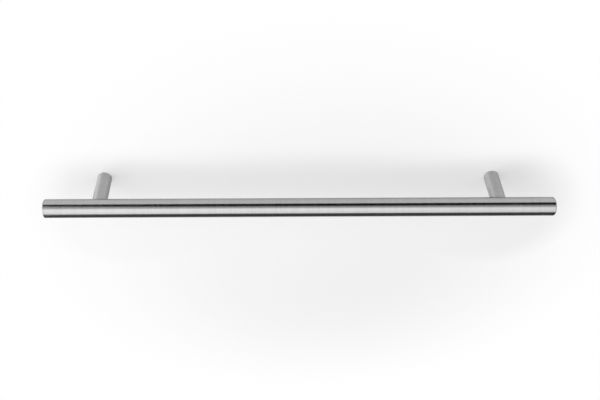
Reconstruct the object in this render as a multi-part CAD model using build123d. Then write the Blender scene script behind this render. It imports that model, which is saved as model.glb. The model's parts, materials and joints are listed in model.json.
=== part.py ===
from build123d import *
from math import radians, sqrt, tan
import os

# Bar handle for a drawer or cupboard front: a round steel bar carried by two round posts.
# The mounting face is the plane Y = 0, and the handle stands out from it towards -Y. X runs along the
# bar, Z is up, and the origin lies midway between the two fixing holes. All sizes are in millimetres.

# Posts
post_spacing = 256.0  # centre to centre, which is also the spacing of the fixing holes
post_diameter = 9.5
foot_chamfer = 0.3

# Bar
bar_diameter = 12.0
bar_overhang = 34.0  # from a post's axis to the bar's end beside it
bar_end_chamfer = 0.5
projection = 35.0  # from the mounting face to the front of the bar

# Seats: flat-bottomed pockets in the back of the bar that the posts stand in
seat_land = 0.2  # depth of the pocket's floor below the lowest stretch of its rim
seat_clearance = 0.05

# Fixing holes in the feet, tapped M4 and drawn at the tapping size
fixing_hole_diameter = 3.3
fixing_hole_depth = 11.0
fixing_hole_chamfer = 0.4

# Studs that join post and bar: M5 set screws, drawn plain inside holes of the tapping size
stud_hole_diameter = 4.2
stud_hole_chamfer = 0.45
stud_clearance = 0.03
stud_in_bar = 4.5
stud_in_post = 7.5
stud_end_room = 0.5  # left between each end of the stud and the bottom of its hole
stud_end_chamfer = 0.5
socket_width = 2.5  # hexagon socket, across its flats
socket_depth = 2.5

drill_point_angle = 118.0

# Heights along Y, measured from the mounting face
bar_radius = bar_diameter / 2
bar_axis_y = bar_radius - projection
bar_back_y = bar_axis_y + bar_radius
seat_radius = post_diameter / 2 + seat_clearance
# The rim of a round pocket in a round bar is lowest at its sides. A pocket as wide as the bar has no
# side left, and its rim comes down to the bar's axis.
seat_rim_height = sqrt(max(0.0, bar_radius**2 - seat_radius**2))
seat_floor_y = bar_axis_y + seat_rim_height - seat_land


def turned(outline):
    """Solid turned about the Y axis from its outline, given as (radius, y) corners."""
    return revolve(make_face(Polyline(*outline, close=True)), Axis.Y)


def tapped(diameter, chamfer, mouth_y, depth, direction):
    """Room taken by a blind hole with a cone of 90 degrees at its mouth and a drill point at its bottom, going
    along Y in one direction. Its depth is that of its wall, measured from the mouth."""
    radius = diameter / 2
    point = radius / tan(radians(drill_point_angle / 2))
    wall_end_y = mouth_y + direction * depth
    return turned(
        [
            (0, mouth_y),
            (radius + chamfer, mouth_y),
            (radius, mouth_y + direction * chamfer),
            (radius, wall_end_y),
            (0, wall_end_y + direction * point),
        ]
    )


def make_bar():
    """Round bar with broken ends, and at each post a flat seat with a tapped hole in its floor."""
    half = post_spacing / 2 + bar_overhang
    face_radius = bar_radius - bar_end_chamfer
    outline = [
        (-half, 0),
        (-half, face_radius),
        (-half + bar_end_chamfer, bar_radius),
        (half - bar_end_chamfer, bar_radius),
        (half, face_radius),
        (half, 0),
    ]
    bar = Pos(0, bar_axis_y, 0) * revolve(make_face(Polyline(*outline, close=True)), Axis.X)
    seat = turned([(0, seat_floor_y), (seat_radius, seat_floor_y), (seat_radius, bar_back_y), (0, bar_back_y)])
    stud_hole = tapped(stud_hole_diameter, stud_hole_chamfer, seat_floor_y, stud_in_bar + stud_end_room, -1)
    for side in (-1, 1):
        bar -= Pos(side * post_spacing / 2, 0, 0) * (seat + stud_hole)
    return bar


def make_post():
    """Round post from the mounting face to the floor of its seat, tapped at both ends."""
    radius = post_diameter / 2
    post = turned(
        [(0, 0), (radius - foot_chamfer, 0), (radius, -foot_chamfer), (radius, seat_floor_y), (0, seat_floor_y)]
    )
    post -= tapped(stud_hole_diameter, stud_hole_chamfer, seat_floor_y, stud_in_post + stud_end_room, 1)
    post -= tapped(fixing_hole_diameter, fixing_hole_chamfer, 0, fixing_hole_depth, -1)
    return post


def make_stud():
    """Set screw with broken ends and a hexagon socket in the end that faces the foot."""
    radius = stud_hole_diameter / 2 - stud_clearance
    tip_radius = radius - stud_end_chamfer
    bar_end_y = seat_floor_y - stud_in_bar
    post_end_y = seat_floor_y + stud_in_post
    stud = turned(
        [
            (0, bar_end_y),
            (tip_radius, bar_end_y),
            (radius, bar_end_y + stud_end_chamfer),
            (radius, post_end_y - stud_end_chamfer),
            (tip_radius, post_end_y),
            (0, post_end_y),
        ]
    )
    socket_face = Plane((0, post_end_y, 0), x_dir=(1, 0, 0), z_dir=(0, -1, 0))
    hexagon = socket_face * RegularPolygon(socket_width / 2, 6, major_radius=False)
    return stud - extrude(hexagon, socket_depth)


nodes = {"bar": make_bar()}
for side_name, side in (("left", -1), ("right", 1)):
    place = Pos(side * post_spacing / 2, 0, 0)
    nodes[side_name + "_post"] = place * make_post()
    nodes[side_name + "_stud"] = place * make_stud()

os.makedirs("parts", exist_ok=True)
for node_name, solid in nodes.items():
    export_step(solid, f"parts/{node_name}.step")
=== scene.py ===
import json
import math

import bpy
import numpy as np
from mathutils import Matrix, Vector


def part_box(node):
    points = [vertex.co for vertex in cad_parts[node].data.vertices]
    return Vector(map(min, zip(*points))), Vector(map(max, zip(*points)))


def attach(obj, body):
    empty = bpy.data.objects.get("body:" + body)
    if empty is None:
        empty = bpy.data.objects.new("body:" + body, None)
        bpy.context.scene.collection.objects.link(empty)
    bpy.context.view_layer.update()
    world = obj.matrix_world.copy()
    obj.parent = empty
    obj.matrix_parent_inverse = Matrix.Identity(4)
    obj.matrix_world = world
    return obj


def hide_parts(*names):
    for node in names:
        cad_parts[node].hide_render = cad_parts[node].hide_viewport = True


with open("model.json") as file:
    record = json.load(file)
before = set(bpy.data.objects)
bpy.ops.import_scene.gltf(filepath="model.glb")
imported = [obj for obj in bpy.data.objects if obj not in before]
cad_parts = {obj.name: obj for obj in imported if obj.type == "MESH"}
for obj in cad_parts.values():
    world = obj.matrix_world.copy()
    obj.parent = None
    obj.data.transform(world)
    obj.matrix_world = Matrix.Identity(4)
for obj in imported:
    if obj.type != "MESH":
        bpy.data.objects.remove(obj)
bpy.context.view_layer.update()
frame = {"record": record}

bl_info = {
    "name": "Brushed bar handle",
    "version": (1, 0, 0),
    "blender": (4, 5, 0),
    "location": "3D View > Sidebar > Bar Handle",
    "description": "Makes the brushed surfaces of a bar handle and sets it on a white front to be pictured",
    "category": "Object",
}

BODY = "root"
SIDES = (("left", -1), ("right", 1))
MM = 0.001
FULL_TURN = 2 * math.pi

# Places and sizes of the CAD pieces, in metres
MOUNTS = {mount["name"]: mount for mount in frame["record"]["mounts"]}
BAR_LOW, BAR_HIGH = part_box("bar")
POST_LOW, POST_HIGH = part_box("right_post")
STUD_LOW, STUD_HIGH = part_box("right_stud")
BAR_HALF_LENGTH = BAR_HIGH.x
BAR_RADIUS = (BAR_HIGH.y - BAR_LOW.y) / 2
BAR_AXIS_Y = (BAR_HIGH.y + BAR_LOW.y) / 2
POST_X = MOUNTS["screw_holes"]["dims"]["spacing_x_mm"] * MM / 2
POST_RADIUS = max(POST_HIGH.x - POST_X, POST_X - POST_LOW.x)
POST_END_Y = POST_LOW.y
STUD_RADIUS = max(STUD_HIGH.x - POST_X, POST_X - STUD_LOW.x)
FIXING_RADIUS = MOUNTS["left_screw_hole"]["dims"]["r_mm"] * MM
FIXING_WALL = MOUNTS["left_screw_hole"]["dims"]["length_mm"] * MM

# How finely the surfaces are divided
BAR_COLUMNS = 192
SEAT_COLUMNS = 40  # of the bar's columns, on each side of its back line, taken up by a seat's surround
SEAT_MARGIN = 7 * MM  # from a post's axis to the edge of that surround, along the bar
SEAT_STEPS = 28
SURROUND_RINGS = 8
POST_COLUMNS = 96
LONGEST_STEP = 3 * MM
ARC_STEPS = 5
THREAD_STEPS = 10  # for each turn
MERGE_DISTANCE = 1e-7
MERGE_OFFSET = 0.37  # keeps exact coordinates off the edges of the merging cells
SHARP_ANGLE = math.radians(32)

# Flats of a thread, as shares of its pitch
THREAD_FOOT_FLAT = 0.25
THREAD_TOP_FLAT = 0.125

# Brush marks on the bar and the posts
BRUSH_MAP = "brush"  # UV map in metres: u runs across the brush marks and v along them
LINE_DETAIL = 5.0
TONE_DETAIL = 2.0
TONE_PITCH = 9.0  # width of the bands of tone, in line pitches
TONE_SHARE = 0.35  # of the bands of tone in the change of colour
MARK_ROUGHNESS = 0.7
MARK_RANGE = (0.3, 0.7)  # of the noise that is put to use

# Turning marks on the studs
RING_SCALE = (40.0, 4000.0, 40.0)  # changes in a metre along each axis
RING_DETAIL = 2.0
RING_CONTRAST = 0.15
RING_ROUGHNESS = (0.3, 0.5)

# Numbers of a Mix node's sockets for values and for colours
MIX_FACTOR = 0
VALUE_A, VALUE_B, VALUE_RESULT = 2, 3, 0
COLOUR_A, COLOUR_B, COLOUR_RESULT = 6, 7, 2

# White front, with a painted white glow on it that grows away from the handle
FRONT_HALF_SIZE = 1.6
FRONT_GAP = 0.1 * MM  # keeps the feet and the front from lying in one plane
FOOT_OPENING = 4.3 * MM  # radius left open under a foot, so that its face gets light from behind
FADE_START = 0.24  # share of the way out at which the fade begins
PLAIN_WHITE = (1.0, 1.0, 1.0, 1.0)

# Light in front of the handle: the angle above straight ahead in degrees, the glow there, and the distance
# in metres. The dark cards above and below hang closer, and give the bar its two dark lines. The camera
# stands before the grey between the upper card and the bright cloth.
LIGHT_BANDS = (
    (-90, 0.09, 0.35),
    (-34, 0.09, 0.9),
    (-28, 1.30, 0.9),
    (10, 1.62, 0.9),
    (31, 1.53, 0.9),
    (40, 0.72, 0.9),
    (56, 0.42, 0.9),
    (62, 0.01, 0.9),
    (90, 0.01, 0.35),
)
TENT_LEFT = -0.55  # along the bar, in metres
TENT_RIGHT = 0.8
TENT_ROWS = 181
TENT_COLUMNS = 41
TENT_END_RINGS = 28
TILT_STRETCH = (-0.35, 0.0)  # along the bar, where the light falls
GLOW = "glow"  # attribute that holds the strength of the tent's light

# Share of the light of the tent's ends at some heights, and at some distances from the front, in metres
LEFT_END_HEIGHTS = ((0.2, 1.0), (0.7, 0.45))
LEFT_END_DISTANCES = ((0.02, 0.7), (0.1, 1.0), (0.2, 1.0), (0.45, 0.5))
RIGHT_END_HEIGHTS = ((0.1, 0.15), (0.5, 1.0))
RIGHT_END_DISTANCES = ((0.0, 1.0),)

SENSOR_WIDTH = 36.0  # of the camera, in millimetres


class BarHandleShape(bpy.types.PropertyGroup):
    """Sizes of the edges, threads and gaps, which the boxes of the CAD pieces do not give"""
    edge_round: bpy.props.FloatProperty(
        name="Edge rounding", description="Radius left on the turned edges", default=0.12 * MM,
        unit="LENGTH")
    bar_end_chamfer: bpy.props.FloatProperty(
        name="Bar end chamfer", description="Width of the broken edge at the bar's ends",
        default=0.5 * MM, unit="LENGTH")
    foot_chamfer: bpy.props.FloatProperty(
        name="Foot chamfer", description="Width of the broken edge round a foot", default=0.3 * MM,
        unit="LENGTH")
    seat_clearance: bpy.props.FloatProperty(
        name="Seat clearance", description="Gap round a post in its seat", default=0.05 * MM,
        unit="LENGTH")
    stud_clearance: bpy.props.FloatProperty(
        name="Stud clearance", description="Gap round a stud in its hole", default=0.03 * MM,
        unit="LENGTH")
    stud_end_room: bpy.props.FloatProperty(
        name="Stud end room", description="Gap between a stud's end and its hole's bottom",
        default=0.5 * MM, unit="LENGTH")
    stud_end_chamfer: bpy.props.FloatProperty(
        name="Stud end chamfer", description="Width of the broken edge at a stud's ends",
        default=0.5 * MM, unit="LENGTH")
    stud_mouth_chamfer: bpy.props.FloatProperty(
        name="Stud hole chamfer", description="Width of the cone at a stud hole's mouth",
        default=0.45 * MM, unit="LENGTH")
    stud_pitch: bpy.props.FloatProperty(
        name="Stud pitch", description="Rise of a stud's thread in one turn", default=0.8 * MM,
        unit="LENGTH")
    stud_thread_radius: bpy.props.FloatProperty(
        name="Stud thread radius", description="Outer radius of a stud's thread", default=2.5 * MM,
        unit="LENGTH")
    socket_width: bpy.props.FloatProperty(
        name="Socket width", description="Width of a stud's hexagon socket across its flats",
        default=2.5 * MM, unit="LENGTH")
    socket_depth: bpy.props.FloatProperty(
        name="Socket depth", description="Depth of a stud's hexagon socket", default=2.5 * MM,
        unit="LENGTH")
    fixing_chamfer: bpy.props.FloatProperty(
        name="Fixing hole chamfer", description="Width of the cone at a fixing hole's mouth",
        default=0.4 * MM, unit="LENGTH")
    fixing_pitch: bpy.props.FloatProperty(
        name="Fixing pitch", description="Rise of the fixing thread in one turn", default=0.7 * MM,
        unit="LENGTH")
    fixing_thread_radius: bpy.props.FloatProperty(
        name="Fixing thread radius", description="Outer radius of the fixing thread", default=2.0 * MM,
        unit="LENGTH")
    fixing_thread_length: bpy.props.FloatProperty(
        name="Fixing thread length", description="Depth to which a fixing hole is tapped",
        default=9.5 * MM, unit="LENGTH")
    drill_point: bpy.props.FloatProperty(
        name="Drill point", description="Angle of the cone at a drilled hole's bottom",
        default=math.radians(118), subtype="ANGLE")


class BarHandleFinish(bpy.types.PropertyGroup):
    """Colours of the steel and its brush marks; bar and posts are one steel, with painted shade in the
    bar's colour and painted light in the posts'
    """
    # Bar colour: painted shade, darker than the steel, to make up for the strong light on the bar
    bar_colour_with_painted_shade: bpy.props.FloatVectorProperty(
        name="Bar colour", description="Steel of the bar", default=(0.44, 0.44, 0.44), subtype="COLOR")
    # Post colour: painted light, lighter than the bar's same steel, to lift the shaded front that the posts
    # reflect
    post_colour_with_painted_light: bpy.props.FloatVectorProperty(
        name="Post colour", description="Steel of the posts", default=(0.56, 0.56, 0.56), subtype="COLOR")
    stud_colour: bpy.props.FloatVectorProperty(
        name="Stud colour", description="Steel of the studs", default=(0.35, 0.35, 0.36), subtype="COLOR")
    bar_roughness: bpy.props.FloatProperty(
        name="Bar roughness", description="Mean roughness of the bar", default=0.235, subtype="FACTOR")
    post_roughness: bpy.props.FloatProperty(
        name="Post roughness", description="Mean roughness of the posts", default=0.46, subtype="FACTOR")
    roughness_spread: bpy.props.FloatProperty(
        name="Roughness spread", description="Change of roughness from line to line", default=0.02,
        subtype="FACTOR")
    brushing: bpy.props.FloatProperty(
        name="Brushing", description="How far the brush marks draw a highlight out", default=0.9,
        subtype="FACTOR")
    edge_tint: bpy.props.FloatVectorProperty(
        name="Edge tint",
        description="Share of its full reflection that the steel gives at a glancing angle",
        default=(0.6, 0.6, 0.6), subtype="COLOR")
    line_pitch: bpy.props.FloatProperty(
        name="Line pitch", description="Width of the broadest brush marks", default=1.6 * MM,
        unit="LENGTH")
    line_length: bpy.props.FloatProperty(
        name="Line length", description="Distance that a brush mark keeps its tone", default=40 * MM,
        unit="LENGTH")
    line_contrast: bpy.props.FloatProperty(
        name="Line contrast", description="Change of colour from line to line", default=0.07,
        subtype="FACTOR")
    line_depth: bpy.props.FloatProperty(
        name="Line depth", description="Depth of the brush marks", default=0.0003 * MM, unit="LENGTH")


class BarHandleStage(bpy.types.PropertyGroup):
    """Front, light and camera"""
    front_colour: bpy.props.FloatVectorProperty(
        name="Front colour", description="Paint of the front behind the handle",
        default=(0.86, 0.86, 0.86), subtype="COLOR")
    # Painted glow: share of plain white glow, no lamp, on the front beside the handle
    painted_glow_near: bpy.props.FloatProperty(
        name="White near the handle", description="Share of plain white in the front beside the handle",
        default=0.38, subtype="FACTOR")
    # The fade to white is the painted glow on the front growing away from the handle
    fade_centre: bpy.props.FloatVectorProperty(
        name="Fade centre", description="Middle of the fade to white", default=(9 * MM, 0, -62 * MM),
        subtype="TRANSLATION", unit="LENGTH")
    fade_width: bpy.props.FloatProperty(
        name="Fade half width", description="Half width at which the front is plain white",
        default=240 * MM, unit="LENGTH")
    fade_rise: bpy.props.FloatProperty(
        name="Fade half height", description="Half height at which the front is plain white",
        default=204 * MM, unit="LENGTH")
    halo_centre: bpy.props.FloatVectorProperty(
        name="Halo centre", description="Middle of the shaded stretch of front behind the bar",
        default=(6 * MM, 0, -35 * MM), subtype="TRANSLATION", unit="LENGTH")
    halo_start: bpy.props.FloatProperty(
        name="Halo start", description="Distance from that stretch at which it begins to fade",
        default=36 * MM, unit="LENGTH")
    halo_end: bpy.props.FloatProperty(
        name="Halo end", description="Distance from that stretch at which it has faded", default=75 * MM,
        unit="LENGTH")
    light_tilt: bpy.props.FloatProperty(
        name="Light tilt", description="Fall of the light in one metre, towards the middle from the left",
        default=0.45)
    left_light: bpy.props.FloatProperty(
        name="Left light", description="Light from the left end of the tent", default=2.6)
    right_light: bpy.props.FloatProperty(
        name="Right light", description="Light from the right end of the tent", default=1.1)
    camera_azimuth: bpy.props.FloatProperty(
        name="Camera azimuth", description="Turn of the camera round the handle",
        default=math.radians(-0.553), subtype="ANGLE")
    camera_elevation: bpy.props.FloatProperty(
        name="Camera elevation", description="Height of the camera above the bar",
        default=math.radians(44.156), subtype="ANGLE")
    camera_roll: bpy.props.FloatProperty(
        name="Camera roll", description="Turn of the camera about its own line of sight",
        default=math.radians(0.123), subtype="ANGLE")
    camera_distance: bpy.props.FloatProperty(
        name="Camera distance", description="Distance from the camera to its aim", default=483.37 * MM,
        unit="LENGTH")
    camera_aim_x: bpy.props.FloatProperty(
        name="Aim along the bar", description="Point on the bar that the camera faces",
        default=-16.61 * MM, unit="LENGTH")
    camera_aim_z: bpy.props.FloatProperty(
        name="Aim above the bar", description="Height above the bar's axis that the camera faces",
        default=6.72 * MM, unit="LENGTH")
    camera_lens: bpy.props.FloatProperty(
        name="Lens", description="Focal length in millimetres on a sensor 36 mm wide", default=46.05,
        unit="CAMERA")
    camera_shift: bpy.props.FloatProperty(
        name="Shift", description="Sideways shift of the picture as a share of its width", default=0.0441)


def run_along(profile):
    """Length along a profile from its first point to each of its points."""
    steps = np.linalg.norm(np.diff(profile, axis=0), axis=1)
    return np.concatenate([[0.0], np.cumsum(steps)])


def corner_arc(before, corner, after, radius):
    """Points of the arc that rounds a corner: both unit vectors to the arc's ends, seen from its centre,
    are blended on the sphere, so that the points lie at equal angles."""
    to_before = (before - corner) / np.linalg.norm(before - corner)
    to_after = (after - corner) / np.linalg.norm(after - corner)
    half_angle = math.acos(np.clip(to_before @ to_after, -1.0, 1.0)) / 2
    bisector = (to_before + to_after) / np.linalg.norm(to_before + to_after)
    centre = corner + bisector * radius / math.sin(half_angle)
    start = corner + to_before * radius / math.tan(half_angle) - centre
    end = corner + to_after * radius / math.tan(half_angle) - centre
    turn = math.pi - 2 * half_angle
    share = np.linspace(0.0, 1.0, ARC_STEPS + 1)[:, None]
    return centre + (np.sin((1 - share) * turn) * start + np.sin(share * turn) * end) / math.sin(turn)


def profile_through(corners, radii):
    """Profile through some corners, each rounded to its radius or left sharp where that is 0, with its
    long straight stretches divided evenly."""
    corners = np.array(corners, float)
    parts = [corners[:1]]
    for index, radius in enumerate(radii, start=1):
        before, corner, after = corners[index - 1:index + 2]
        parts.append(corner_arc(before, corner, after, radius) if radius else corner[None])
    points = np.concatenate(parts + [corners[-1:]])
    stretches = []
    for start, end in zip(points[:-1], points[1:]):
        count = math.ceil(np.linalg.norm(end - start) / LONGEST_STEP)
        share = np.arange(count)[:, None] / count
        stretches.append(start + (end - start) * share)
    return np.concatenate(stretches + [points[-1:]])


def grid_of(*values):
    """Grid of points from some values for each, given as arrays that are spread over the grid."""
    return np.stack(np.broadcast_arrays(*values), axis=-1)


def grid_quads(rows, columns):
    """Corner numbers of the quads of a grid of points, numbered row by row."""
    first = np.arange(rows - 1)[:, None] * columns + np.arange(columns - 1)
    return np.stack([first, first + 1, first + columns + 1, first + columns], axis=-1).reshape(-1, 4)


def join_grids(grids):
    """Points of several grids in one list, grid after grid, and the corner numbers of their quads."""
    points = np.concatenate([grid.reshape(-1, grid.shape[-1]) for grid in grids])
    starts = np.cumsum([0] + [grid.shape[0] * grid.shape[1] for grid in grids])
    quads = np.concatenate([grid_quads(*grid.shape[:2]) + start for grid, start in zip(grids, starts)])
    return points, quads


def mesh_from_patches(name, patches):
    """One mesh from several grids of (x, y, z, u, v), of which u and v are the place in the brush map.
    Points in the same place become one point, which closes the seams and poles. A quad that loses a
    corner there becomes a triangle, and one that loses more is left out."""
    values, quads = join_grids(patches)
    points, places = values[:, :3], values[:, 3:]
    cells = np.floor(points / MERGE_DISTANCE + MERGE_OFFSET).astype(np.int64)
    kept, merged = np.unique(cells, axis=0, return_index=True, return_inverse=True)[1:]
    corners = merged.reshape(-1)[quads]
    apart = corners != np.roll(corners, -1, axis=1)
    faces = apart.sum(axis=1) > 2
    corners, apart, quads = corners[faces], apart[faces], quads[faces]
    sizes = apart.sum(axis=1)
    mesh = bpy.data.meshes.new(name)
    mesh.vertices.add(len(kept))
    mesh.vertices.foreach_set("co", points[kept].astype(np.float32).ravel())
    mesh.loops.add(int(sizes.sum()))
    mesh.loops.foreach_set("vertex_index", corners[apart].astype(np.int32))
    mesh.polygons.add(len(sizes))
    mesh.polygons.foreach_set("loop_start", (np.cumsum(sizes) - sizes).astype(np.int32))
    brush_map = mesh.uv_layers.new(name=BRUSH_MAP)
    brush_map.uv.foreach_set("vector", places[quads][apart].astype(np.float32).ravel())
    mesh.update(calc_edges=True)
    if mesh.validate():
        raise ValueError(name + " has faces that Blender had to repair")
    mesh.shade_smooth()
    mesh.set_sharp_from_angle(angle=SHARP_ANGLE)
    return mesh


def add_object(name, mesh, material):
    """Object of a mesh in one material, at the origin of the scene."""
    mesh.materials.append(material)
    made = bpy.data.objects.new(name, mesh)
    bpy.context.scene.collection.objects.link(made)
    return made


def add_piece(name, patches, material, node):
    """Piece made of some grids, which stands for a CAD node and rides on its body."""
    piece = add_object(name, mesh_from_patches(name, patches), material)
    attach(piece, BODY)
    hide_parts(node)


def on_bar(x, angle, radius, u):
    """Points at some angles about the bar's axis, from its back line: y is the axis plus radius times the
    cosine, and z is radius times the sine."""
    y = BAR_AXIS_Y + radius * np.cos(angle)
    return grid_of(x, y, radius * np.sin(angle), u, BAR_RADIUS * angle)


def bar_lengths(shape):
    """The bar outside its seats: its two ends and the stretch between the posts, each a profile of
    (x, radius) turned about the bar's axis. u equals x on the round side and goes on over the ends."""
    chamfer = shape.bar_end_chamfer
    end_corners = [
        (-BAR_HALF_LENGTH, 0),
        (-BAR_HALF_LENGTH, BAR_RADIUS - chamfer),
        (-BAR_HALF_LENGTH + chamfer, BAR_RADIUS),
        (-POST_X - SEAT_MARGIN, BAR_RADIUS),
    ]
    left = profile_through(end_corners, [shape.edge_round] * 2)
    right = left[::-1] * (-1, 1)
    middle = profile_through([(SEAT_MARGIN - POST_X, BAR_RADIUS), (POST_X - SEAT_MARGIN, BAR_RADIUS)], [])
    angle = np.linspace(0, FULL_TURN, BAR_COLUMNS + 1)
    run = run_along(left)
    runs = (run - run[-1] + left[-1, 0], middle[:, 0], right[0, 0] + run_along(right))
    return [
        on_bar(profile[:, :1], angle, profile[:, 1:], u[:, None])
        for profile, u in zip((left, middle, right), runs)
    ]


def seat_surround(post_x, shape):
    """The round side at one seat: a plain grid over the front, and behind it rings that blend from the
    seat's rim to a rectangle of the bar's own columns. The rim is where a cylinder about the post's axis
    meets the bar, so at each angle x is its radius times the cosine, and z its radius times the sine.
    Returns both grids and the angles of the rim's points."""
    seat_radius = POST_RADIUS + shape.seat_clearance
    reach = SEAT_COLUMNS * (FULL_TURN / BAR_COLUMNS)
    along = np.linspace(-SEAT_MARGIN, SEAT_MARGIN, SEAT_STEPS + 1)
    around = np.linspace(-reach, reach, 2 * SEAT_COLUMNS + 1)
    front = np.linspace(reach, FULL_TURN - reach, BAR_COLUMNS - 2 * SEAT_COLUMNS + 1)
    front_x = post_x + along[:, None]
    front_grid = on_bar(front_x, front, BAR_RADIUS, front_x)
    # Four sides of the rectangle in turn
    edge_x = np.concatenate([
        np.full(len(around) - 1, SEAT_MARGIN),
        along[:0:-1],
        np.full(len(around) - 1, -SEAT_MARGIN),
        along,
    ])
    edge_turn = np.concatenate([
        around[:-1],
        np.full(len(along) - 1, reach),
        around[:0:-1],
        np.full(len(along), -reach),
    ])
    rim_reach = math.asin(seat_radius / BAR_RADIUS)
    rim_angle = np.arctan2(edge_turn / rim_reach, edge_x / seat_radius)
    rim_x = seat_radius * np.cos(rim_angle)
    rim_turn = np.arcsin(seat_radius * np.sin(rim_angle) / BAR_RADIUS)
    share = np.linspace(0, 1, SURROUND_RINGS + 1)[:, None]
    x = post_x + (1 - share) * rim_x + share * edge_x
    back_grid = on_bar(x, (1 - share) * rim_turn + share * edge_turn, BAR_RADIUS, x)
    return [front_grid, back_grid], rim_angle


def thread_share(angle, y, pitch):
    """Share of a right-hand thread's height at some angles about an axis along y: a triangle wave along y
    that moves on by one pitch in each turn, cut flat at its foot and at its top. A screw and its hole share
    the wave, so they fit each other."""
    phase = np.mod(y / pitch - angle / FULL_TURN, 1.0)
    wave = np.abs(2 * phase - 1)
    return np.clip((wave - THREAD_FOOT_FLAT) / (1 - THREAD_TOP_FLAT - THREAD_FOOT_FLAT), 0, 1)


def thread_heights(start_y, end_y, pitch):
    """Heights along a thread, as a column from one end to the other, at even steps that are counted from
    the front's face, so that a screw and its hole are divided alike."""
    step = pitch / THREAD_STEPS
    low, high = sorted((start_y, end_y))
    even = np.arange(math.floor(low / step) + 1, math.ceil(high / step)) * step
    heights = np.concatenate([[low], even, [high]])[:, None]
    return heights if start_y < end_y else heights[::-1]


def level_rows(radius, y, angle):
    """Rows of (radius, y) at some angles, where either may be the same all round."""
    return grid_of(radius, y, 0 * angle)[..., :2]


def tapped_hole(
        angle, mouth_y, direction, length, bore, mouth_chamfer,
        pitch, thread_radius, thread_length, drill_point):
    """Rows of (radius, y) of a tapped hole, from its mouth to its drill point. Its radius is the bore plus
    the thread, which fades out over its last turn, or that of the cone at its mouth where that is more."""
    y = thread_heights(mouth_y, mouth_y + direction * length, pitch)
    depth = np.abs(y - mouth_y)
    fade = np.clip((thread_length - depth) / pitch, 0, 1)
    radius = bore + (thread_radius - bore) * fade * thread_share(angle, y, pitch)
    radius = np.maximum(radius, bore + mouth_chamfer - depth)
    point_y = mouth_y + direction * (length + bore / math.tan(drill_point / 2))
    return np.concatenate([level_rows(radius, y, angle), level_rows([[0]], [[point_y]], angle)])


def stud_hole(angle, direction, stud_depth, shape):
    """Rows of the hole for one end of a stud, tapped to its bottom, from the face between post and bar."""
    length = stud_depth + shape.stud_end_room
    return tapped_hole(
        angle,
        mouth_y=POST_END_Y,
        direction=direction,
        length=length,
        bore=STUD_RADIUS + shape.stud_clearance,
        mouth_chamfer=shape.stud_mouth_chamfer,
        pitch=shape.stud_pitch,
        thread_radius=shape.stud_thread_radius + shape.stud_clearance,
        thread_length=length,
        drill_point=shape.drill_point,
    )


def fixing_hole(angle, shape):
    """Rows of the hole in a foot that takes a screw from behind the front."""
    return tapped_hole(
        angle,
        mouth_y=0.0,
        direction=-1,
        length=FIXING_WALL + shape.fixing_chamfer,
        bore=FIXING_RADIUS,
        mouth_chamfer=shape.fixing_chamfer,
        pitch=shape.fixing_pitch,
        thread_radius=shape.fixing_thread_radius,
        thread_length=shape.fixing_thread_length,
        drill_point=shape.drill_point,
    )


def on_post(post_x, angle, rows):
    """Points about a post's axis from rows of (radius, y) at some angles, of which x is radius times the
    cosine and z is radius times the sine, downwards. Rows that run from the bar to the front along a post's
    outside face outwards. u is the run along the rows' mean."""
    radius, y = rows[..., 0], rows[..., 1]
    run = run_along(rows.mean(axis=1))[:, None]
    return grid_of(post_x + radius * np.cos(angle), y, -radius * np.sin(angle), run, POST_RADIUS * angle)


def seat_pocket(post_x, rim_angle, shape):
    """The seat's wall, its flat floor and the stud hole in it, from the drill point up to the rim. The rim
    alone rises and falls with the round of the bar: above the bar's axis it is the root of the bar's radius
    squared less z squared."""
    seat_radius = POST_RADIUS + shape.seat_clearance
    angle = -rim_angle
    hole = stud_hole(angle, -1, POST_END_Y - STUD_LOW.y, shape)
    rim_y = BAR_AXIS_Y + np.sqrt(BAR_RADIUS**2 - (seat_radius * np.sin(rim_angle))**2)
    wall = level_rows(seat_radius, np.stack([np.full_like(rim_y, POST_END_Y), rim_y]), angle)
    return on_post(post_x, angle, np.concatenate([hole[::-1], wall]))


def post_surface(post_x, shape):
    """A post, as a profile turned about its axis: from the drill point of its stud hole, over its end, its
    round side and its foot, to the drill point of its fixing hole."""
    angle = np.linspace(0, FULL_TURN, POST_COLUMNS + 1)
    stud_end = stud_hole(angle, 1, STUD_HIGH.y - POST_END_Y, shape)
    corners = [
        (STUD_RADIUS + shape.stud_clearance + shape.stud_mouth_chamfer, POST_END_Y),
        (POST_RADIUS, POST_END_Y),
        (POST_RADIUS, -shape.foot_chamfer),
        (POST_RADIUS - shape.foot_chamfer, 0),
        (FIXING_RADIUS + shape.fixing_chamfer, 0),
    ]
    outside = profile_through(corners, [0, shape.edge_round, shape.edge_round])[1:-1]
    outside = level_rows(outside[:, :1], outside[:, 1:], angle)
    return on_post(post_x, angle, np.concatenate([stud_end[::-1], outside, fixing_hole(angle, shape)]))


def stud_surface(post_x, shape):
    """A set screw, from the middle of its end in the bar to the middle of its hexagon socket. Its radius is
    its core's plus the thread, or that of the cones at its ends where that is less. The socket's radius is
    half its width over the cosine of the angle from the middle of the nearest flat."""
    angle = np.linspace(0, FULL_TURN, POST_COLUMNS + 1)
    y = thread_heights(STUD_LOW.y, STUD_HIGH.y, shape.stud_pitch)
    height = shape.stud_thread_radius - STUD_RADIUS
    radius = STUD_RADIUS + height * thread_share(angle, y, shape.stud_pitch)
    from_end = np.minimum(y - STUD_LOW.y, STUD_HIGH.y - y)
    radius = np.minimum(radius, STUD_RADIUS - shape.stud_end_chamfer + from_end)
    flat = FULL_TURN / 6
    hexagon = shape.socket_width / 2 / np.cos(np.mod(angle, flat) - flat / 2)
    floor_y = STUD_HIGH.y - shape.socket_depth
    socket_radii = np.stack([hexagon, hexagon, 0 * angle])
    socket = level_rows(socket_radii, [[STUD_HIGH.y], [floor_y], [floor_y]], angle)
    start = level_rows([[0]], [[STUD_LOW.y]], angle)
    return on_post(post_x, angle, np.concatenate([start, level_rows(radius, y, angle), socket]))


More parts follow.
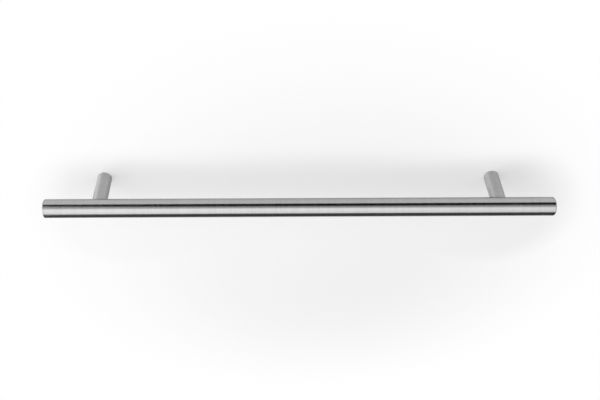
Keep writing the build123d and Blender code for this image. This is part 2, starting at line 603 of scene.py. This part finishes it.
def add_node(tree, kind, inputs=(), **settings):
    """Node with its settings, and with values or links for its inputs, given by name or number."""
    node = tree.nodes.new(kind)
    for setting, value in settings.items():
        setattr(node, setting, value)
    for socket, value in dict(inputs).items():
        if isinstance(value, bpy.types.NodeSocket):
            tree.links.new(value, node.inputs[socket])
        else:
            node.inputs[socket].default_value = value
    return node


def add_math(tree, operation, *values):
    """Value that a math node works out from one or two others."""
    return add_node(tree, "ShaderNodeMath", enumerate(values), operation=operation).outputs[0]


def add_vector_math(tree, operation, *vectors):
    """Vector, or else length, that a vector math node works out from one or two vectors."""
    node = add_node(tree, "ShaderNodeVectorMath", enumerate(vectors), operation=operation)
    return node.outputs["Value" if operation in ("LENGTH", "DISTANCE") else "Vector"]


def add_range(tree, value, start=(0.0, 1.0), end=(0.0, 1.0), interpolation="LINEAR"):
    """Value taken from one range to another and held within that."""
    names = ("From Min", "From Max", "To Min", "To Max")
    inputs = {"Value": value, **dict(zip(names, (*start, *end)))}
    return add_node(tree, "ShaderNodeMapRange", inputs, interpolation_type=interpolation).outputs[0]


def add_shades(tree, share, colour, contrast):
    """Colour that goes with a share from a darker to a lighter shade of a steel."""
    dark, light = [
        (*(channel * level for channel in colour), 1.0)
        for level in (1 - contrast, 1 + contrast)
    ]
    inputs = {MIX_FACTOR: share, COLOUR_A: dark, COLOUR_B: light}
    return add_node(tree, "ShaderNodeMix", inputs, data_type="RGBA").outputs[COLOUR_RESULT]


def new_material(name):
    """Material with an empty node tree."""
    material = bpy.data.materials.new(name)
    material.use_nodes = True
    material.node_tree.nodes.clear()
    return material


def brushed_lines_group():
    """Brush marks: noise in three dimensions, stretched so that it changes slowly over the surface and fast
    along the run across the marks. Lines is 0 to 1 for each mark, and Tone is the same for broad bands."""
    name = "Brushed lines"
    if name in bpy.data.node_groups:
        return bpy.data.node_groups[name]
    group = bpy.data.node_groups.new(name, "ShaderNodeTree")
    sockets = (
        ("Run", "INPUT", "NodeSocketFloat"),
        ("Position", "INPUT", "NodeSocketVector"),
        ("Pitch", "INPUT", "NodeSocketFloat"),
        ("Length", "INPUT", "NodeSocketFloat"),
        ("Lines", "OUTPUT", "NodeSocketFloat"),
        ("Tone", "OUTPUT", "NodeSocketFloat"),
    )
    for socket, direction, kind in sockets:
        group.interface.new_socket(name=socket, in_out=direction, socket_type=kind)
    given = add_node(group, "NodeGroupInput").outputs
    made = add_node(group, "NodeGroupOutput").inputs
    per_length = add_math(group, "DIVIDE", 1.0, given["Length"])
    inputs = {"Vector": given["Position"], "Scale": per_length}
    slow = add_node(group, "ShaderNodeVectorMath", inputs, operation="SCALE").outputs["Vector"]
    run = add_math(group, "DIVIDE", given["Run"], given["Pitch"])
    broad_run = add_math(group, "DIVIDE", run, TONE_PITCH)
    for distance, detail, output in ((run, LINE_DETAIL, "Lines"), (broad_run, TONE_DETAIL, "Tone")):
        step = add_node(group, "ShaderNodeCombineXYZ", {"X": distance}).outputs["Vector"]
        place = add_vector_math(group, "ADD", slow, step)
        inputs = {"Vector": place, "Scale": 1.0, "Detail": detail, "Roughness": MARK_ROUGHNESS}
        noise = add_node(group, "ShaderNodeTexNoise", inputs)
        group.links.new(noise.outputs[0], made[output])
    return group


def brushed_steel(name, colour, roughness, finish):
    """Steel brushed round its axis: the marks change its colour and roughness a little and are cut into it,
    and they draw the highlights out along the axis."""
    material = new_material(name)
    tree = material.node_tree
    place = add_node(tree, "ShaderNodeUVMap", uv_map=BRUSH_MAP).outputs["UV"]
    marks = add_node(tree, "ShaderNodeGroup", {
        "Run": add_node(tree, "ShaderNodeSeparateXYZ", {"Vector": place}).outputs["X"],
        "Position": add_node(tree, "ShaderNodeTexCoord").outputs["Object"],
        "Pitch": finish.line_pitch,
        "Length": finish.line_length,
    }, node_tree=brushed_lines_group()).outputs
    inputs = {MIX_FACTOR: TONE_SHARE, VALUE_A: marks["Lines"], VALUE_B: marks["Tone"]}
    shade = add_node(tree, "ShaderNodeMix", inputs, data_type="FLOAT").outputs[VALUE_RESULT]
    share = add_range(tree, shade, MARK_RANGE)
    gloss = (roughness - finish.roughness_spread, roughness + finish.roughness_spread)
    relief = {"Height": marks["Lines"], "Strength": 1.0, "Distance": finish.line_depth}
    along = add_node(tree, "ShaderNodeTangent", direction_type="UV_MAP", uv_map=BRUSH_MAP)
    steel = add_node(tree, "ShaderNodeBsdfPrincipled", {
        "Base Color": add_shades(tree, share, colour, finish.line_contrast),
        "Roughness": add_range(tree, marks["Lines"], MARK_RANGE, gloss),
        "Normal": add_node(tree, "ShaderNodeBump", relief).outputs["Normal"],
        "Tangent": along.outputs["Tangent"],
        "Metallic": 1.0,
        "Anisotropic": finish.brushing,
        "Specular Tint": (*finish.edge_tint, 1.0),
    })
    add_node(tree, "ShaderNodeOutputMaterial", {"Surface": steel.outputs["BSDF"]})
    return material


def turned_steel(name, colour):
    """Plain turned steel: fine rings along the axis that change its colour and roughness a little."""
    material = new_material(name)
    tree = material.node_tree
    position = add_node(tree, "ShaderNodeTexCoord").outputs["Object"]
    rings = add_vector_math(tree, "MULTIPLY", position, RING_SCALE)
    noise = add_node(tree, "ShaderNodeTexNoise", {"Vector": rings, "Scale": 1.0, "Detail": RING_DETAIL})
    share = noise.outputs[0]
    steel = add_node(tree, "ShaderNodeBsdfPrincipled", {
        "Base Color": add_shades(tree, share, colour, RING_CONTRAST),
        "Roughness": add_range(tree, share, end=RING_ROUGHNESS),
        "Metallic": 1.0,
    })
    add_node(tree, "ShaderNodeOutputMaterial", {"Surface": steel.outputs["BSDF"]})
    return material


class BARHANDLE_OT_make_bar(bpy.types.Operator):
    """Make the brushed bar with its broken ends and the two seats in its back"""
    bl_idname = "bar_handle.make_bar"
    bl_label = "Make bar"

    def execute(self, context):
        shape = context.scene.bar_handle_shape
        finish = context.scene.bar_handle_finish
        patches = bar_lengths(shape)
        for _, side in SIDES:
            surround, rim_angle = seat_surround(side * POST_X, shape)
            patches += surround + [seat_pocket(side * POST_X, rim_angle, shape)]
        steel = brushed_steel("Brushed bar steel", finish.bar_colour_with_painted_shade, finish.bar_roughness, finish)
        add_piece("brushed_bar", patches, steel, "bar")
        return {"FINISHED"}


class BARHANDLE_OT_make_posts(bpy.types.Operator):
    """Make the two brushed posts with their tapped feet"""
    bl_idname = "bar_handle.make_posts"
    bl_label = "Make posts"

    def execute(self, context):
        shape = context.scene.bar_handle_shape
        finish = context.scene.bar_handle_finish
        steel = brushed_steel("Brushed post steel", finish.post_colour_with_painted_light, finish.post_roughness, finish)
        for name, side in SIDES:
            patches = [post_surface(side * POST_X, shape)]
            add_piece(f"brushed_{name}_post", patches, steel, f"{name}_post")
        return {"FINISHED"}


class BARHANDLE_OT_make_studs(bpy.types.Operator):
    """Make the two threaded studs that hold the posts in the bar"""
    bl_idname = "bar_handle.make_studs"
    bl_label = "Make studs"

    def execute(self, context):
        shape = context.scene.bar_handle_shape
        steel = turned_steel("Turned stud steel", context.scene.bar_handle_finish.stud_colour)
        for name, side in SIDES:
            patches = [stud_surface(side * POST_X, shape)]
            add_piece(f"threaded_{name}_stud", patches, steel, f"{name}_stud")
        return {"FINISHED"}


def painted_glow_share(tree, position, stage):
    """Share of the painted white glow on the front, from the lesser of two smooth steps: one over the
    distance from the fade's centre, in half sizes of its ellipse, and one over the distance from a stretch
    that is as long as the posts are apart. The glow is least beside the handle, so the front is darker
    there."""
    from_centre = add_vector_math(tree, "SUBTRACT", position, stage.fade_centre)
    per_size = (1 / stage.fade_width, 0, 1 / stage.fade_rise)
    on_ellipse = add_vector_math(tree, "MULTIPLY", from_centre, per_size)
    reach = add_vector_math(tree, "LENGTH", on_ellipse)
    broad_fade = add_range(tree, reach, (FADE_START, 1.0), interpolation="SMOOTHSTEP")
    from_stretch = add_vector_math(tree, "SUBTRACT", position, stage.halo_centre)
    folded = add_vector_math(tree, "ABSOLUTE", from_stretch)
    past_end = add_vector_math(tree, "SUBTRACT", folded, (POST_X, 0, 0))
    beside = add_vector_math(tree, "MAXIMUM", past_end, (0, 0, 0))
    distance = add_vector_math(tree, "LENGTH", beside)
    near_fade = add_range(tree, distance, (stage.halo_start, stage.halo_end), interpolation="SMOOTHSTEP")
    fade = add_math(tree, "MINIMUM", broad_fade, near_fade)
    return add_range(tree, fade, end=(stage.painted_glow_near, 1.0))


def front_paint(stage):
    """White paint with a painted glow of plain white on it, seen by the camera and in reflections but
    lighting
    nothing: weakest beside the handle, where the paint's own shading shows, and full white away from it. It
    is clear from behind, and open under the two feet."""
    material = new_material("White front")
    tree = material.node_tree
    position = add_node(tree, "ShaderNodeTexCoord").outputs["Object"]
    rays = add_node(tree, "ShaderNodeLightPath").outputs
    mirrored = add_math(tree, "MAXIMUM", rays["Is Glossy Ray"], rays["Is Transmission Ray"])
    shows = add_math(tree, "MAXIMUM", rays["Is Camera Ray"], mirrored)
    share = add_math(tree, "MULTIPLY", painted_glow_share(tree, position, stage), shows)
    paint = add_node(tree, "ShaderNodeBsdfDiffuse", {"Color": (*stage.front_colour, 1.0)}).outputs[0]
    # Painted glow: plain white that the camera and reflections see on the front, though it is no lamp
    white = add_node(tree, "ShaderNodeEmission", {"Color": PLAIN_WHITE, "Strength": 1.0}).outputs[0]
    seen = add_node(tree, "ShaderNodeMixShader", {0: share, 1: paint, 2: white}).outputs[0]
    folded = add_vector_math(tree, "ABSOLUTE", position)
    from_foot = add_vector_math(tree, "DISTANCE", folded, (POST_X, FRONT_GAP, 0))
    under_foot = add_math(tree, "LESS_THAN", from_foot, FOOT_OPENING)
    behind = add_node(tree, "ShaderNodeNewGeometry").outputs["Backfacing"]
    clear_share = add_math(tree, "MAXIMUM", under_foot, behind)
    clear = add_node(tree, "ShaderNodeBsdfTransparent").outputs[0]
    surface = add_node(tree, "ShaderNodeMixShader", {0: clear_share, 1: seen, 2: clear}).outputs[0]
    add_node(tree, "ShaderNodeOutputMaterial", {"Surface": surface})
    return material


def add_front(stage):
    """Flat white front that the handle is screwed to, facing the same way as the handle."""
    edges = FRONT_HALF_SIZE * np.array([-1, 1])
    points, quads = join_grids([grid_of(edges, FRONT_GAP, edges[:, None])])
    mesh = bpy.data.meshes.new("white_front")
    mesh.from_pydata(points, [], quads)
    add_object("white_front", mesh, front_paint(stage))


def tent_light():
    """Light that is as strong as the tent's glow."""
    material = new_material("Tent light")
    tree = material.node_tree
    strength = add_node(tree, "ShaderNodeAttribute", attribute_name=GLOW).outputs["Fac"]
    light = add_node(tree, "ShaderNodeEmission", {"Strength": strength}).outputs[0]
    add_node(tree, "ShaderNodeOutputMaterial", {"Surface": light})
    return material


def read_at(pairs, places):
    """Values at some places, read along straight lines between pairs of a place and its value."""
    return np.interp(places, *zip(*pairs))


def add_light_tent(stage):
    """Tent of cloth before the front, which lights the handle: a half cylinder along the bar, whose glow
    at each angle above straight ahead is read from the light bands and falls from the left to the
    middle, and a half disc at each end, whose glow changes with the height and with the distance from
    the front."""
    degrees = np.linspace(-90, 90, TENT_ROWS)[:, None]
    angle = np.radians(degrees)
    x = np.linspace(TENT_LEFT, TENT_RIGHT, TENT_COLUMNS)
    band_angles, band_levels, band_distances = zip(*LIGHT_BANDS)
    tilt = 1 - stage.light_tilt * np.clip(x, *TILT_STRETCH)
    glow = np.interp(degrees, band_angles, band_levels) * tilt
    radius = np.interp(degrees, band_angles, band_distances)
    grids = [grid_of(x, -radius * np.cos(angle), radius * np.sin(angle), glow)]
    inner = radius * np.linspace(0, 1, TENT_END_RINGS)
    height = inner * np.sin(angle)
    distance = inner * np.cos(angle)
    ends = (
        (TENT_LEFT, stage.left_light, LEFT_END_HEIGHTS, LEFT_END_DISTANCES),
        (TENT_RIGHT, stage.right_light, RIGHT_END_HEIGHTS, RIGHT_END_DISTANCES),
    )
    for end_x, level, by_height, by_distance in ends:
        end_glow = level * read_at(by_height, height) * read_at(by_distance, distance)
        grids.append(grid_of(end_x, -distance, height, end_glow))
    points, quads = join_grids(grids)
    mesh = bpy.data.meshes.new("light_tent")
    mesh.from_pydata(points[:, :3], [], quads)
    mesh.attributes.new(GLOW, "FLOAT", "POINT").data.foreach_set("value", points[:, 3].astype(np.float32))
    tent = add_object("light_tent", mesh, tent_light())
    tent.visible_camera = False


def add_camera(stage):
    """Camera that looks down on the front, at the angle of the photograph."""
    azimuth, elevation, roll = stage.camera_azimuth, stage.camera_elevation, stage.camera_roll
    level_back = np.array([math.sin(azimuth), -math.cos(azimuth), 0])
    back = math.cos(elevation) * level_back + np.array([0, 0, math.sin(elevation)])
    level_right = np.array([math.cos(azimuth), math.sin(azimuth), 0])
    level_up = np.cross(back, level_right)
    right = math.cos(roll) * level_right + math.sin(roll) * level_up
    up = math.cos(roll) * level_up - math.sin(roll) * level_right
    aim = np.array([stage.camera_aim_x, BAR_AXIS_Y, stage.camera_aim_z])
    place = np.identity(4)
    place[:3] = np.stack([right, up, back, aim + back * stage.camera_distance], axis=1)
    lens = bpy.data.cameras.new("camera")
    lens.sensor_width = SENSOR_WIDTH
    lens.lens = stage.camera_lens
    lens.shift_x = stage.camera_shift
    camera = bpy.data.objects.new("camera", lens)
    camera.matrix_world = Matrix(place.tolist())
    bpy.context.scene.collection.objects.link(camera)
    bpy.context.scene.camera = camera


def set_world():
    """Plain white all round, behind the front and past its edges."""
    world = bpy.data.worlds.new("White surroundings")
    world.use_nodes = True
    background = world.node_tree.nodes["Background"]
    background.inputs["Color"].default_value = PLAIN_WHITE
    background.inputs["Strength"].default_value = 1.0
    bpy.context.scene.world = world


class BARHANDLE_OT_set_stage(bpy.types.Operator):
    """Set up the white front, the light and the camera"""
    bl_idname = "bar_handle.set_stage"
    bl_label = "Set stage"

    def execute(self, context):
        stage = context.scene.bar_handle_stage
        add_front(stage)
        add_light_tent(stage)
        set_world()
        add_camera(stage)
        context.scene.view_settings.view_transform = "Standard"
        return {"FINISHED"}


OPERATORS = (
    BARHANDLE_OT_make_bar,
    BARHANDLE_OT_make_posts,
    BARHANDLE_OT_make_studs,
    BARHANDLE_OT_set_stage,
)
SETTINGS = (
    ("bar_handle_shape", BarHandleShape),
    ("bar_handle_finish", BarHandleFinish),
    ("bar_handle_stage", BarHandleStage),
)


class BARHANDLE_PT_panel(bpy.types.Panel):
    """Sizes, colours and steps of the bar handle"""
    bl_label = "Bar Handle"
    bl_idname = "BARHANDLE_PT_panel"
    bl_space_type = "VIEW_3D"
    bl_region_type = "UI"
    bl_category = "Bar Handle"

    def draw(self, context):
        for attribute, group in SETTINGS:
            box = self.layout.box()
            for setting in group.__annotations__:
                box.prop(getattr(context.scene, attribute), setting)
        for operator in OPERATORS:
            self.layout.operator(operator.bl_idname)


CLASSES = tuple(group for _, group in SETTINGS) + OPERATORS + (BARHANDLE_PT_panel,)


def register():
    """Make the classes and the scene's settings known to Blender."""
    for item in CLASSES:
        bpy.utils.register_class(item)
    for attribute, group in SETTINGS:
        setattr(bpy.types.Scene, attribute, bpy.props.PointerProperty(type=group))


def unregister():
    """Take the settings and the classes back out."""
    for attribute, _ in SETTINGS:
        delattr(bpy.types.Scene, attribute)
    for item in reversed(CLASSES):
        bpy.utils.unregister_class(item)


def main():
    """Make the pieces and the stage."""
    register()
    bpy.ops.bar_handle.make_bar()
    bpy.ops.bar_handle.make_posts()
    bpy.ops.bar_handle.make_studs()
    bpy.ops.bar_handle.set_stage()


if __name__ == "__main__":
    main()
